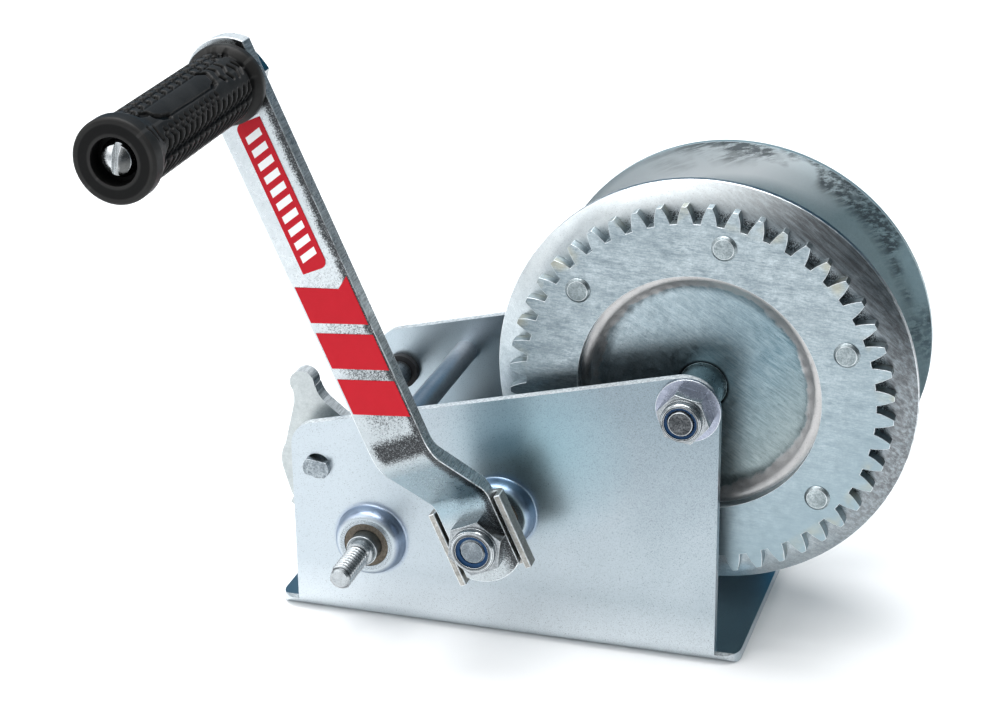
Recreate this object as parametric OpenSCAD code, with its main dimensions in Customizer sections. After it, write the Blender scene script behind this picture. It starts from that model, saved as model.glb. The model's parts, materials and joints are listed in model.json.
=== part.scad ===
// Two-speed hand winch for a boat trailer: U-channel frame, rope drum with a
// riveted ring gear, two input shafts, ratchet and pawl, crank with turning grip.
// Frame of reference: +Z up, base underside at z = 0, drum axis along Y,
// crank side at -Y, X = 0 at the middle of the side plates. Millimetres.

/* [Frame] */
// length of the side plates
plate_len = 165; // [140:1:190]
// height of the side plates at the low end
plate_h_low = 78; // [60:1:95]
// height of the side plates at the drum end
plate_h_high = 118; // [100:1:135]
// overall width over the side plates
frame_w = 102; // [90:1:120]
// sheet thickness of the channel
sheet = 4; // [3:0.5:5]
// outside radius of the two folded bottom corners
fold_r = 7; // [5:0.5:10]
// how far the base runs past the side plates
base_over = 8.6; // [4:0.2:14]
// corner radius of the base plate
base_corner = 9; // [4:0.5:14]
// radius of the low top corner
corner_low = 10; // [5:0.5:14]
// radius of the top corner at the drum bolt
corner_high = 13; // [8:0.5:15]
// mounting bolt hole
mount_hole_d = 11; // [9:0.5:13]
// mounting hole spacing along the frame
mount_dx = 124; // [100:1:140]
// mounting hole spacing across the frame
mount_dy = 50; // [40:1:60]

/* [Positions] */
// drum axis, distance right of the middle
drum_x = 71.3; // [65:0.1:75]
// drum axis height
drum_z = 102.8; // [98:0.1:106]
// upper input shaft, distance right of the middle
shaft_a_x = 0.3; // [-3:0.1:3]
// upper input shaft height
shaft_a_z = 53; // [50:0.1:56]
// lower input shaft, distance right of the middle
shaft_b_x = -51.3; // [-54:0.1:-48]
// lower input shaft height
shaft_b_z = 34.9; // [32:0.1:38]
// pawl pivot, distance right of the middle
pawl_x = -72.1; // [-75:0.1:-70]
// pawl pivot height
pawl_z = 62.5; // [60:0.1:65]
// tie rod, distance right of the middle
tie_x = -44.5; // [-50:0.1:-40]
// tie rod height
tie_z = 73.6; // [70:0.1:76]

/* [Gears] */
// module of the drum gear and its pinion
mod_drum = 2.85; // [2.8:0.01:2.9]
// teeth on the drum gear
teeth_drum = 48; // [48:1:48]
// teeth on the upper shaft pinion
teeth_pin_a = 12; // [12:1:12]
// profile shift of the upper shaft pinion
shift_a = 0.42; // [0.3:0.01:0.5]
// module of the low-speed pair
mod_low = 3; // [2.9:0.01:3.1]
// teeth on the upper shaft wheel
teeth_wheel_a = 24; // [24:1:24]
// teeth on the lower shaft pinion
teeth_pin_b = 12; // [12:1:12]
// profile shift of the lower shaft pinion
shift_b = 0.25; // [0.2:0.01:0.3]
// thinning of every tooth for backlash
backlash = 0.22; // [0.1:0.01:0.4]
// thickness of the drum ring gear
ring_t = 5; // [4:0.5:6]
// bore radius of the drum ring gear
ring_bore_r = 45.2; // [42:0.1:48]
// front face of the drum ring gear, distance behind the drum mid-plane
ring_front = 37; // [36:0.5:38]

/* [Drum] */
// outside radius of the geared flange
flange_near_r = 78.3; // [75:0.1:80]
// outside radius of the plain flange
flange_far_r = 75; // [72:0.1:80]
// flange sheet thickness
flange_t = 2.5; // [2:0.1:3]
// rope core radius
hub_r = 30; // [24:0.5:36]
// drum bolt diameter
bolt_d = 10; // [10:0.5:12]
// drum flange rivet circle radius
rivet_circle = 57.4; // [54:0.1:60]
// drum flange rivet head radius
rivet_head_r = 4.7; // [4:0.1:5.5]
// number of flange rivets
rivet_n = 6; // [4:1:8]
// spacer tube outside diameter
spacer_d = 17; // [16:0.1:18]

/* [Shafts] */
// shaft diameter between the plates
shaft_d = 14; // [12:0.5:16]
// journal diameter in the bushings
journal_d = 12; // [10:0.5:13]
// bushing outside diameter
bush_d = 17.6; // [16:0.1:19]
// how far the bearing bosses stand out of the plates
boss_h = 6.4; // [4:0.1:8]
// outside radius of a bearing boss at its mouth
boss_r = 10.6; // [10:0.1:12]
// radius where a bearing boss leaves the plate
boss_root_r = 13.8; // [13:0.1:15]
// thread diameter of the square-shouldered input ends
stub_d = 9.6; // [9:0.1:12]
// distance across the flats of the input ends
stub_flat = 8.3; // [7:0.1:9]

/* [Crank] */
// shaft to grip distance
crank_len = 190.8; // [170:0.1:220]
// width of the crank arm
arm_w = 22; // [18:0.5:26]
// thickness of the crank arm
arm_t = 6; // [5:0.5:7]
// lean of the crank arm from the +X direction
crank_ang = 113.5; // [0:0.5:180]
// crank arm front face near the shaft
arm_front_low = 77; // [75:0.5:80]
// crank arm front face near the grip
arm_front_high = 105; // [100:0.5:110]
// grip length
grip_len = 88.5; // [80:0.5:110]
// grip collar diameter
grip_d = 28; // [24:0.5:32]

/* [Ratchet] */
// ratchet teeth
ratchet_n = 12; // [12:1:12]
// ratchet tip radius
ratchet_r = 19; // [18.5:0.1:19.5]
// ratchet root radius
ratchet_root = 14.8; // [14.5:0.1:15.2]
// turn of the pawl from engaged to the drawn resting pose
pawl_lift = 9; // [8:0.5:10]
// thickness of one pawl plate
pawl_t = 3.2; // [3:0.1:3.4]
// pawl pin diameter
pawl_pin_d = 10; // [9:0.5:11]

/* [Hidden] */
$fn = 64;
eps = 0.01;
hw = frame_w/2;
in_y = hw - sheet;
drum_y = [drum_x, drum_z];
pa = [shaft_a_x, shaft_a_z];
pb = [shaft_b_x, shaft_b_z];
pp = [pawl_x, pawl_z];
ang_da = atan2(pa[1] - drum_z, pa[0] - drum_x);
ang_ab = atan2(pb[1] - pa[1], pb[0] - pa[0]);
wheel_y0 = -46.4;
wheel_y1 = -39.4;
pinion_a_y1 = -32.5;
far_flat = 37;
drum_nut_af = 17;
crank_nut_af = 19;
lip_t = 0.7;
lip_w = 1.8;
boss_mouth = hw + boss_h;
boss_rise = 1.3;
bracket_t = 2.5;
bracket_w = 29.8;
bracket_len = 30;
bracket_back = arm_front_low - arm_t - bracket_t;
// turn of the flats on the two input ends
flats_a = crank_ang - 90;
flats_b = -15;
stub_end = 86;
journal_fit = 0.05;
arm_back_low = arm_front_low - arm_t;
grip_near = arm_front_high + 0.6;
grip_far = grip_near + grip_len;
recess_r = 7.8;
body_r = 11.8;
gp = pa + crank_len*[cos(crank_ang), sin(crank_ang)];
zinc = [0.78, 0.82, 0.85];
zinc_dark = [0.60, 0.66, 0.70];
bronze = [0.52, 0.46, 0.38];
nylon = [0.12, 0.32, 0.50];
rubber = [0.12, 0.12, 0.12];
red = [0.80, 0.14, 0.19];

function neg(pts) = [for (p = pts) [p[0], -p[1]]];
function inv_deg(a) = tan(a)*180/PI - a;
function pol(r, a) = [r*cos(a), r*sin(a)];
// half the angle a tooth fills at radius r
function half_ang(r, rp, rb, s) =
    (s/(2*rp))*180/PI + inv_deg(20) - inv_deg(acos(min(1, rb/max(r, rb))));
function gear_pts(m, z, x, a0) =
    let (rp = m*z/2, rb = rp*cos(20), ra = rp + m*(1 + x), rf = rp - m*(1.25 - x),
         s = m*(PI/2 + 2*x*tan(20)) - backlash, r0 = max(rb, rf),
         flank = [for (i = [0:4]) r0 + (ra - r0)*i/4])
    [for (k = [0:z-1]) let (c = a0 + 360*k/z)
        each concat([pol(rf, c - half_ang(r0, rp, rb, s) - 0.6)],
                    [for (r = flank) pol(r, c - half_ang(r, rp, rb, s))],
                    [for (i = [4:-1:0]) pol(flank[i], c + half_ang(flank[i], rp, rb, s))],
                    [pol(rf, c + half_ang(r0, rp, rb, s) + 0.6)])];
// outline of a saw-tooth wheel: steep side first, long back after it
function saw_pts(n, ra, rf, a0) =
    [for (k = [0:n-1]) let (c = a0 + 360*k/n)
        each [pol(rf, c - 0.3), pol(ra, c), pol(ra, c + 3),
              pol(rf + (ra - rf)*0.45, c + 360/n*0.55)]];

module slab(y0, y1) translate([0, y1, 0]) rotate([90, 0, 0])
    linear_extrude(y1 - y0) children();
module turned(p, pts) translate([p[0], 0, p[1]]) rotate([90, 0, 0])
    rotate_extrude($fn = 96) polygon(neg(pts));
module rod(p, d, y0, y1) slab(y0, y1) translate(p) circle(d = d);
module tube(p, d, bore, y0, y1) slab(y0, y1) translate(p) difference() {
    circle(d = d);
    circle(d = bore);
}
module flat_circle(d, across) intersection() {
    circle(d = d);
    square([across, d + 2], center = true);
}
// two circles joined by their outer tangents
module link(p1, r1, p2, r2) {
    v = p2 - p1;
    len = norm(v);
    a = atan2(v[1], v[0]);
    b = acos((r1 - r2)/len);
    translate(p1) circle(r = r1);
    translate(p2) circle(r = r2);
    polygon([p1 + pol(r1, a + b), p1 + pol(r1, a - b), p2 + pol(r2, a - b),
             p2 + pol(r2, a + b)]);
}

// ---------- frame ----------
module plate_outline(pin_hole) difference() {
    polygon([[-plate_len/2, fold_r], [-plate_len/2, plate_h_low],
             [plate_len/2, plate_h_high], [plate_len/2, fold_r]]);
    corner_cut([-plate_len/2, plate_h_low], corner_low, 1);
    corner_cut([plate_len/2, plate_h_high], corner_high, -1);
    translate(pp) circle(d = pin_hole);
    translate([tie_x, tie_z]) circle(d = 8);
    translate(drum_y) circle(d = bolt_d + 0.4);
}
// rounds a top corner of the sloping plate: side 1 low end, -1 drum end
module corner_cut(p, r, side) {
    slope = atan2(plate_h_high - plate_h_low, plate_len);
    half = side > 0 ? (90 + slope)/2 : (90 - slope)/2;
    reach = r/tan(half);
    c = [p[0] + side*r, p[1] - reach];
    t = c + r*[-side*sin(side*slope), cos(slope)];
    difference() {
        polygon([[p[0] - side*1, c[1]], [p[0] - side*1, p[1] + 6],
                 [t[0], p[1] + 6], t, c]);
        translate(c) circle(r = r);
    }
}
// folded corner section, quarter ring at the foot of each plate
module fold(s) translate([-plate_len/2, s*(hw - fold_r), fold_r])
    rotate([90, 0, 90]) linear_extrude(plate_len) intersection() {
        difference() {
            circle(r = fold_r);
            circle(r = fold_r - sheet);
        }
        translate([s > 0 ? 0 : -fold_r, -fold_r]) square([fold_r, fold_r]);
    }
// drawn bearing boss: tight hollow at its root, round shoulder up to the mouth
function boss_profile() = concat(
    [[0, in_y], [boss_root_r + 1, in_y], [boss_root_r + 1, hw - 0.5],
     [boss_root_r + 0.8, hw], [boss_root_r + 0.2, hw + 0.25], [boss_root_r - 0.1, hw + 0.7]],
    [for (a = [0:15:90]) [boss_r + (boss_root_r - 0.2 - boss_r)*cos(a),
                          hw + boss_rise + (boss_h - boss_rise)*sin(a)]],
    [[0, boss_mouth]]);
module boss_solid(p, s) turned(p, [for (q = boss_profile()) [q[0], s*q[1]]]);
module frame() color(zinc) difference() {
    union() {
        for (s = [-1, 1]) {
            slab(s > 0 ? in_y : -hw, s > 0 ? hw : -in_y)
                plate_outline(s > 0 ? 8.1 : pin_end_d + 0.1);
            fold(s);
            boss_solid(pa, s);
            boss_solid(pb, s);
        }
        base_plate();
    }
    for (p = [pa, pb]) rod(p, bush_d, -boss_mouth - 1, boss_mouth + 1);
    for (x = [-1, 1], y = [-1, 1]) translate([x*mount_dx/2, y*mount_dy/2, -1])
        cylinder(d = mount_hole_d, h = sheet + 2);
}
// base plate: its ends run past the side plates, with the lower part of both folds
module base_plate() {
    l = plate_len/2 + base_over;
    fold_y = hw - fold_r;
    intersection() {
        linear_extrude(sheet) rounded_plan(l, hw, base_corner);
        union() {
            translate([-l, -fold_y, 0]) cube([2*l, 2*fold_y, sheet]);
            for (s = [-1, 1]) translate([-l, s*fold_y, fold_r]) rotate([0, 90, 0])
                cylinder(r = fold_r, h = 2*l);
        }
    }
}
module rounded_plan(l, w, r) {
    square([2*(l - r), 2*w], center = true);
    square([2*l, 2*(w - r)], center = true);
    for (x = [-1, 1], y = [-1, 1]) translate([x*(l - r), y*(w - r)]) circle(r = r);
}
module bushing(p, s) turned(p, s > 0 ?
    [[journal_d/2 + journal_fit, in_y - 0.2], [bush_d/2, in_y - 0.2],
     [bush_d/2, boss_mouth - 0.3], [journal_d/2 + journal_fit, boss_mouth - 0.3]] :
    [[journal_d/2 + journal_fit, -in_y + 0.2], [bush_d/2, -in_y + 0.2],
     [bush_d/2, -boss_mouth + 0.3], [journal_d/2 + journal_fit, -boss_mouth + 0.3]]);
module bush_a_near() color(bronze) bushing(pa, -1);
module bush_b_near() color(bronze) bushing(pb, -1);
module bush_a_far() color(bronze) bushing(pa, 1);
module bush_b_far() color(bronze) bushing(pb, 1);
module tie_rod() color(zinc) turned([tie_x, tie_z],
    [[0, -hw - 2.2], [4, -hw - 2.2], [6, -hw - 0.8], [6, -hw], [4, -hw], [4, -in_y],
     [4.75, -in_y], [4.75, in_y], [4, in_y], [4, hw], [6, hw], [6, hw + 0.8],
     [4, hw + 2.2], [0, hw + 2.2]]);

// ---------- drum bolt ----------
module drum_bolt() color(zinc_dark) {
    turned(drum_y, [[0, -hw - 13.9], [bolt_d/2 - 0.6, -hw - 13.9], [bolt_d/2, -hw - 12.9],
                    [bolt_d/2, hw + 1.6], [0, hw + 1.6]]);
    hex_part(drum_y, drum_nut_af, hw + 1.6, hw + 8.6, 1);
}
// hexagon with turned corners on its outer face
module hex_part(p, af, y0, y1, out) intersection() {
    slab(y0, y1) translate(p) rotate(out > 0 ? 12 : 0) circle(d = af/cos(30), $fn = 6);
    turned(p, out > 0 ?
        [[0, y0 - 1], [af*0.62, y0 - 1], [af*0.62, y1 - 1.4], [af*0.475, y1 + eps],
         [0, y1 + eps]] :
        [[0, y1 + 1], [af*0.62, y1 + 1], [af*0.62, y0 + 1.4], [af*0.475, y0 - eps],
         [0, y0 - eps]]);
}
module bolt_washers() color(zinc) for (y = [[-hw - 1.6, -hw], [hw, hw + 1.6]])
    tube(drum_y, 24, bolt_d + 0.4, y[0], y[1]);
// lock nut opening toward -Y: hexagon, then the round crimped collar
module lock_nut(p, af, bore, mouth, y_seat, h, turn) difference() {
    collar = af*0.445;
    union() {
        intersection() {
            slab(y_seat - h*0.72, y_seat) translate(p) rotate(turn)
                circle(d = af/cos(30), $fn = 6);
            turned(p, [[0, y_seat + 1], [af, y_seat + 1], [af, y_seat - h*0.52],
                       [collar, y_seat - h*0.74], [0, y_seat - h*0.74]]);
        }
        turned(p, [[0, y_seat - h*0.7], [collar, y_seat - h*0.7], [collar, y_seat - h + 1.1],
                   [collar - 0.3, y_seat - h + 0.4], [collar - 0.9, y_seat - h],
                   [0, y_seat - h]]);
    }
    rod(p, bore, y_seat - h - 1, y_seat + 1);
    rod(p, mouth + lip_w, y_seat - h + lip_t, y_seat - h*0.74);
    rod(p, mouth, y_seat - h - 1, y_seat - h + lip_t + eps);
}
module nut_insert(p, bore, mouth, y_seat, h)
    tube(p, mouth + lip_w, bore, y_seat - h + lip_t, y_seat - h*0.74);
module drum_nut() color(zinc) lock_nut(drum_y, drum_nut_af, bolt_d, 12.1, -hw - 1.6, 12, 48);
module drum_nut_insert() color(nylon) nut_insert(drum_y, bolt_d, 12.1, -hw - 1.6, 12);
module drum_spacer() color(zinc_dark) tube(drum_y, spacer_d, bolt_d + 0.4, -in_y, in_y);

// ---------- drum ----------
function rivet_at(i) = drum_y + pol(rivet_circle, 21.5 + 360*i/rivet_n);
module flange_near() color(zinc) difference() {
    turned(drum_y,
        [[spacer_d/2 + 0.08, -28.5], [35, -28.5], [38.5, -29], [41.5, -31.2], [44.2, -32],
         [66.5, -32], [70.5, -31.4], [74.5, -29.6], [flange_near_r, -26.9],
         [flange_near_r, -24.4], [74.2, -26.9], [70, -28.8], [66, -29.5], [44.5, -29.5],
         [42.2, -28.6], [39.5, -26.6], [35.5, -26], [spacer_d/2 + 0.08, -26]]);
    for (i = [0:rivet_n-1]) rod(rivet_at(i), 6.4, -ring_front, -20);
}
module flange_far() color(zinc) difference() {
    turned(drum_y,
        [[spacer_d/2 + 0.08, 33.5], [35, 33.5], [38.5, 34], [41.5, 36.2], [44.2, far_flat],
         [62.5, far_flat], [67, 36.4], [71.2, 34.6], [flange_far_r, 31.9],
         [flange_far_r, 29.4], [71, 31.9], [66.6, 33.8], [62, far_flat - flange_t],
         [44.5, far_flat - flange_t], [42.2, 33.6], [39.5, 31.6], [35.5, 31],
         [spacer_d/2 + 0.08, 31]]);
    for (p = clamp_at()) rod(p, 6.3, 20, 50);
    rod(drum_y + pol(34.5, 210), 7.5, 20, 50);
}
function clamp_at() = [for (a = [194, 226]) drum_y + pol(52, a)];
module drum_hub() color(zinc_dark) turned(drum_y,
    [[hub_r - 3, -26], [hub_r, -26], [hub_r, 31], [hub_r - 3, 31]]);
module ring_gear() color(zinc) slab(-ring_front, -ring_front + ring_t)
    difference() {
        translate(drum_y) polygon(gear_pts(mod_drum, teeth_drum, 0, ang_da));
        translate(drum_y) circle(r = ring_bore_r);
        for (i = [0:rivet_n-1]) translate(rivet_at(i)) circle(d = 6.4);
    }
module drum_rivets() color(zinc_dark) for (i = [0:rivet_n-1])
    turned(rivet_at(i), [[0, -ring_front - 1.3], [rivet_head_r - 1, -ring_front - 1.2],
         [rivet_head_r, -ring_front - 0.4], [rivet_head_r, -ring_front], [3.2, -ring_front],
         [3.2, -29.5], [4.6, -29.5], [4.2, -28.3], [0, -28]]);
module rope_clamp() color(zinc_dark) slab(far_flat, far_flat + 2.5) difference() {
    c = clamp_at();
    link(c[0], 7, c[1], 7);
    for (p = c) translate(p) circle(d = 6.3);
}
module rope_clamp_bolts() color(zinc) for (p = clamp_at()) {
    turned(p, [[0, 32.2], [4.6, 32.2], [6, 33.2], [6, 34.5], [3, 34.5], [3, 44], [0, 44]]);
    intersection() {
        slab(39.5, 43) translate(p) circle(d = 10/cos(30), $fn = 6);
        turned(p, [[0, 39], [6, 39], [6, 42.2], [5, 43.01], [0, 43.01]]);
    }
}

// ---------- upper shaft with the crank ----------
// shaft between the plates; its near end is a stub with flats that face the angle turn
module shaft(p, near_end, turn) difference() {
    union() {
        turned(p, [[0, -in_y + 0.3], [shaft_d/2, -in_y + 0.3], [shaft_d/2, in_y - 0.3],
                   [journal_d/2, in_y - 0.3], [journal_d/2, boss_mouth + 3.6],
                   [journal_d/2 - 0.8, boss_mouth + 4.4], [0, boss_mouth + 4.4]]);
        rod(p, journal_d, -near_end, -in_y + 0.4);
        slab(-stub_end + 0.8, -near_end + 0.1) translate(p) rotate(turn)
            flat_circle(stub_d, stub_flat);
        slab(-stub_end, -stub_end + 1) translate(p) rotate(turn)
            flat_circle(stub_d - 1.4, stub_flat);
    }
    tube(p, journal_d + 4, journal_d - 1.6, boss_mouth + 1, boss_mouth + 2.2);
}
module shaft_a() color(zinc_dark) shaft(pa, bracket_back, flats_a);
module shaft_b() color(zinc_dark) shaft(pb, boss_mouth + 5.2, flats_b);
module retainer(p) slab(boss_mouth + 1.1, boss_mouth + 2.1) translate(p) difference() {
    circle(d = 17);
    circle(d = journal_d - 1.5);
    polygon([[0, 0], [9, -5], [9, 5]]);
}
module retainers_a() color(zinc_dark) retainer(pa);
module retainers_b() color(zinc_dark) retainer(pb);
module pinion_a() color(zinc_dark) slab(wheel_y1, pinion_a_y1) translate(pa) difference() {
    polygon(gear_pts(mod_drum, teeth_pin_a, shift_a, ang_da + 180 + 180/teeth_pin_a));
    circle(d = shaft_d);
}
module wheel_a() color(zinc) slab(wheel_y0, wheel_y1) translate(pa) difference() {
    polygon(gear_pts(mod_low, teeth_wheel_a, 0, ang_ab));
    circle(d = shaft_d);
}
module stub_hole() rotate(flats_a) flat_circle(stub_d + 0.06, stub_flat + 0.06);
// places a shape drawn with +X along the arm, from the shaft centre
module along_arm(y0, y1) slab(y0, y1) translate(pa) rotate(crank_ang) children();
// folded bracket: a base with two ears, seen along the arm
module bracket_section() {
    bend_out = bracket_t + 1.5;
    corner = [-bracket_back - bend_out, bracket_w/2 - bend_out];
    out = [for (a = [90:-15:0]) corner + pol(bend_out, a)];
    in = [for (a = [90:-15:0]) corner + pol(bend_out - bracket_t, a)];
    half = concat([[-arm_front_low, bracket_w/2]], out);
    half_in = concat([[-arm_front_low, bracket_w/2 - bracket_t]], in);
    n = len(half) - 1;
    polygon(concat(half, [for (i = [n:-1:0]) [half[i][0], -half[i][1]]],
                   [for (p = half_in) [p[0], -p[1]]], [for (i = [n:-1:0]) half_in[i]]));
}
module driver_bracket() color(zinc_dark) difference() {
    translate([pa[0], 0, pa[1]]) rotate([0, -crank_ang, 0])
        translate([-bracket_len/2, 0, 0]) rotate([90, 0, 90])
            linear_extrude(bracket_len) bracket_section();
    slab(-bracket_back - 4, -bracket_back + 1) translate(pa) stub_hole();
}
// side view of the arm, a strip along a centre line with two equal bends
bend_mid = 32.6;
bend_slope = 45;
bend_r = 12;
bend_steps = 8;
module arm_side() {
    rise = arm_front_high - arm_front_low;
    base = arm_front_low - arm_t/2;
    half_run = rise/2/tan(bend_slope);
    tangent = bend_r*tan(bend_slope/2);
    // centre line: [along, outward, direction]
    first = [for (i = [0:bend_steps]) let (a = bend_slope*i/bend_steps)
        [bend_mid - half_run - tangent + bend_r*sin(a), base + bend_r*(1 - cos(a)), a]];
    second = [for (i = [0:bend_steps]) let (a = bend_slope*(1 - i/bend_steps))
        [bend_mid + half_run + tangent - bend_r*sin(a),
         base + rise - bend_r*(1 - cos(a)), a]];
    line = concat([[-30, base, 0]], first, second, [[crank_len + 30, base + rise, 0]]);
    last = len(line) - 1;
    polygon(concat([for (p = line) side_point(p, arm_t/2)],
                   [for (i = [last:-1:0]) side_point(line[i], -arm_t/2)]));
}
function side_point(p, d) = [p[0] - d*sin(p[2]), p[1] + d*cos(p[2])];
module crank_arm() color(zinc) difference() {
    intersection() {
        translate([pa[0], 0, pa[1]]) rotate([0, -crank_ang, 0])
            translate([0, 0, -arm_w/2]) mirror([0, 1, 0]) linear_extrude(arm_w) arm_side();
        along_arm(-arm_front_high - 1, -arm_back_low + 1) arm_face();
    }
    slab(-arm_front_low - 1, -arm_back_low + 1) translate(pa) stub_hole();
    rod(gp, 10, -arm_front_high - 1, -arm_back_low);
}
module arm_face() intersection() {
    translate([-30, -arm_w/2]) square([crank_len + 60, arm_w]);
    union() {
        translate([0, -arm_w]) square([crank_len, 2*arm_w]);
        circle(r = 16.4);
        translate([crank_len, 0]) circle(r = 15.5);
    }
}
module crank_nut() color(zinc) lock_nut(pa, crank_nut_af, stub_d, 12.5, -arm_front_low, 9.4, 24);
module crank_nut_insert() color(nylon) nut_insert(pa, stub_d, 12.5, -arm_front_low, 9.4);
module arm_label() color(red)
    along_arm(-arm_front_high - 0.25, -arm_front_high) difference() {
        translate([120.5, -5.2]) square([56, 10]);
        translate([120.5, -5.2]) corner_bite(2.5, 0);
        translate([176.5, 4.8]) corner_bite(2.5, 180);
    }
module corner_bite(r, a) rotate(a) difference() {
    translate([-1, -1]) square([r + 1, r + 1]);
    translate([r, r]) circle(r = r);
}
module arm_stripes() color(red)
    along_arm(-arm_front_high - 0.25, -arm_front_high) {
        for (u = [60.9, 78.9]) polygon([[u, -10], [u + 13.8, -10], [u + 20.7, 10],
                                        [u + 6.9, 10]]);
        polygon([[96.6, -10], [115.2, -10], [111.8, -5.2], [117.3, 10], [103.5, 10]]);
    }
module grip_bolt() color(zinc) difference() {
    turned(gp, [[0, -grip_far + 0.6], [2.6, -grip_far + 1], [4.9, -grip_far + 2.2],
                [6.1, -grip_far + 4.2], [6.1, -grip_far + 5.7], [5, -grip_far + 5.7],
                [5, -arm_front_high + arm_t + 9], [0, -arm_front_high + arm_t + 9]]);
    translate([gp[0], -grip_far + 1.4, gp[1]]) rotate([0, 8, 0])
        cube([2, 3.2, 14], center = true);
}
module grip_nut() color(zinc_dark) difference() {
    hex_part(gp, 17, -arm_front_high + arm_t, -arm_front_high + arm_t + 7.4, 1);
    rod(gp, 10, -120, -80);
}

// ---------- grip ----------
module grip() color(rubber) {
    r = grip_d/2;
    turned(gp, [[5.08, -grip_far + 6], [recess_r, -grip_far + 6], [recess_r, -grip_far],
        [r - 1.2, -grip_far], [r, -grip_far + 1.6], [r, -grip_far + 9],
        [r - 1.2, -grip_far + 12], [body_r, -grip_far + 15], [body_r, -grip_near - 8],
        [r - 1, -grip_near - 5], [r, -grip_near - 3.6], [r, -grip_near - 1],
        [r - 1, -grip_near], [5.08, -grip_near]]);
}

// ---------- lower shaft ----------
module pinion_b() color(zinc_dark) slab(wheel_y0, wheel_y1) translate(pb) difference() {
    polygon(gear_pts(mod_low, teeth_pin_b, shift_b, ang_ab + 180 + 180/teeth_pin_b));
    circle(d = shaft_d);
}
ratchet_ang = 187.4;
module ratchet_wheel() color(zinc) slab(wheel_y1, pinion_a_y1) translate(pb) difference() {
    polygon(saw_pts(ratchet_n, ratchet_r, ratchet_root, ratchet_ang));
    circle(d = shaft_d);
}

// ---------- pawl ----------
pawl_y0 = -38.9;
pin_end_d = 10.2;
pawl_rivet_at = [-80.8, 52.2];
// nose drawn seated in the ratchet, in the lower shaft's polar frame
module pawl_nose() polygon([for (q = [[17.9, 172], [19.6, 160], [20.6, 149], [33, 152],
    [34, 176], [22.5, 186.3], [15.4, 186.6]]) pb + pol(q[0], q[1])]);
module pawl_body() difference() {
    union() {
        // thumb tab with a waist on each side
        translate([-82, 90.4]) circle(r = 5);
        polygon(concat(
            [for (a = [25:-8:-15]) [-98.3, 84] + pol(12.8, a)],
            [[-91.9, 56.8], [-78.5, 50], [-66, 58], [-59.6, 70], [-65.6, 77.8]],
            [for (a = [235:-8:195]) [-64.5, 93] + pol(12.6, a)]));
        translate([-71, 67]) circle(r = 12);
        link([-78.5, 57.6], 13.4, [-80.5, 47.2], 8.6);
    }
    // room for the ratchet tips when the nose is seated
    lifted() translate(pb) circle(r = ratchet_r + 0.8);
}
module lifted() translate(pp) rotate(-pawl_lift) translate(-pp) children();
module pawl_plate() difference() {
    union() {
        pawl_body();
        lifted() pawl_nose();
    }
    translate(pp) circle(d = pawl_pin_d);
    translate(pawl_rivet_at) circle(d = 5);
}
module pawl_front() color(zinc) slab(pawl_y0, pawl_y0 + pawl_t) pawl_plate();
module pawl_back() color(zinc) slab(pawl_y0 + pawl_t, pawl_y0 + 2*pawl_t) pawl_plate();
module pawl_rivet() color(zinc_dark) turned(pawl_rivet_at,
    [[0, pawl_y0 - 1.2], [2.8, pawl_y0 - 1.1], [3.8, pawl_y0 - 0.3], [3.8, pawl_y0],
     [2.5, pawl_y0], [2.5, pawl_y0 + 2*pawl_t], [3.8, pawl_y0 + 2*pawl_t],
     [3.8, pawl_y0 + 2*pawl_t + 0.3], [2.8, pawl_y0 + 2*pawl_t + 1.1],
     [0, pawl_y0 + 2*pawl_t + 1.2]]);
module pawl_pin() color(zinc_dark) {
    rod(pp, pawl_pin_d, -in_y + 0.3, in_y - 3.5);
    slab(-hw - 2.8, -in_y + 0.4) translate(pp) rotate(82) flat_circle(pin_end_d, 6.7);
    rod(pp, 8, in_y - 3.6, hw + 2);
}
module pawl_bush() color(rubber) tube(pp, 14.4, 8.1, in_y - 3.2, in_y);
// coil spring around the pin between plate and pawl, with a straight leg at each end
module pawl_spring() color(zinc_dark) {
    coils = 4;
    seg = 20;
    sides = 8;
    wire = 0.62;
    r = 7;
    y0 = -in_y + 1;
    pitch = 1.55;
    a0 = 200;
    leg = 9;
    n = coils*seg;
    way = [sin(a0), -cos(a0)];
    // each station: centre x, y, z and the direction the section faces
    path = concat([[r*cos(a0) - leg*way[0], y0, r*sin(a0) - leg*way[1], a0]],
        [for (i = [0:n]) let (a = a0 - 360*i/seg) [r*cos(a), y0 + pitch*i/seg, r*sin(a), a]],
        [[r*cos(a0) + leg*way[0], y0 + pitch*coils, r*sin(a0) + leg*way[1], a0]]);
    m = len(path);
    pts = [for (q = path, k = [0:sides-1]) let (b = 360*k/sides)
           [pp[0] + q[0] + wire*cos(b)*cos(q[3]), q[1] + wire*sin(b),
            pp[1] + q[2] + wire*cos(b)*sin(q[3])]];
    quads = [for (i = [0:m-2], k = [0:sides-1]) let (k2 = (k + 1) % sides)
             [i*sides + k, i*sides + k2, (i + 1)*sides + k2, (i + 1)*sides + k]];
    polyhedron(points = pts, faces = concat(quads,
        [[for (k = [sides-1:-1:0]) k]], [[for (k = [0:sides-1]) (m - 1)*sides + k]]));
}

frame();
bush_a_near();
bush_b_near();
bush_a_far();
bush_b_far();
tie_rod();
drum_bolt();
bolt_washers();
drum_nut();
drum_nut_insert();
drum_spacer();
flange_near();
flange_far();
drum_hub();
ring_gear();
drum_rivets();
rope_clamp();
rope_clamp_bolts();
shaft_a();
retainers_a();
pinion_a();
wheel_a();
driver_bracket();
crank_arm();
crank_nut();
crank_nut_insert();
arm_label();
arm_stripes();
grip_bolt();
grip_nut();
grip();
shaft_b();
retainers_b();
pinion_b();
ratchet_wheel();
pawl_front();
pawl_back();
pawl_rivet();
pawl_pin();
pawl_bush();
pawl_spring();
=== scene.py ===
import json
import math

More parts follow.
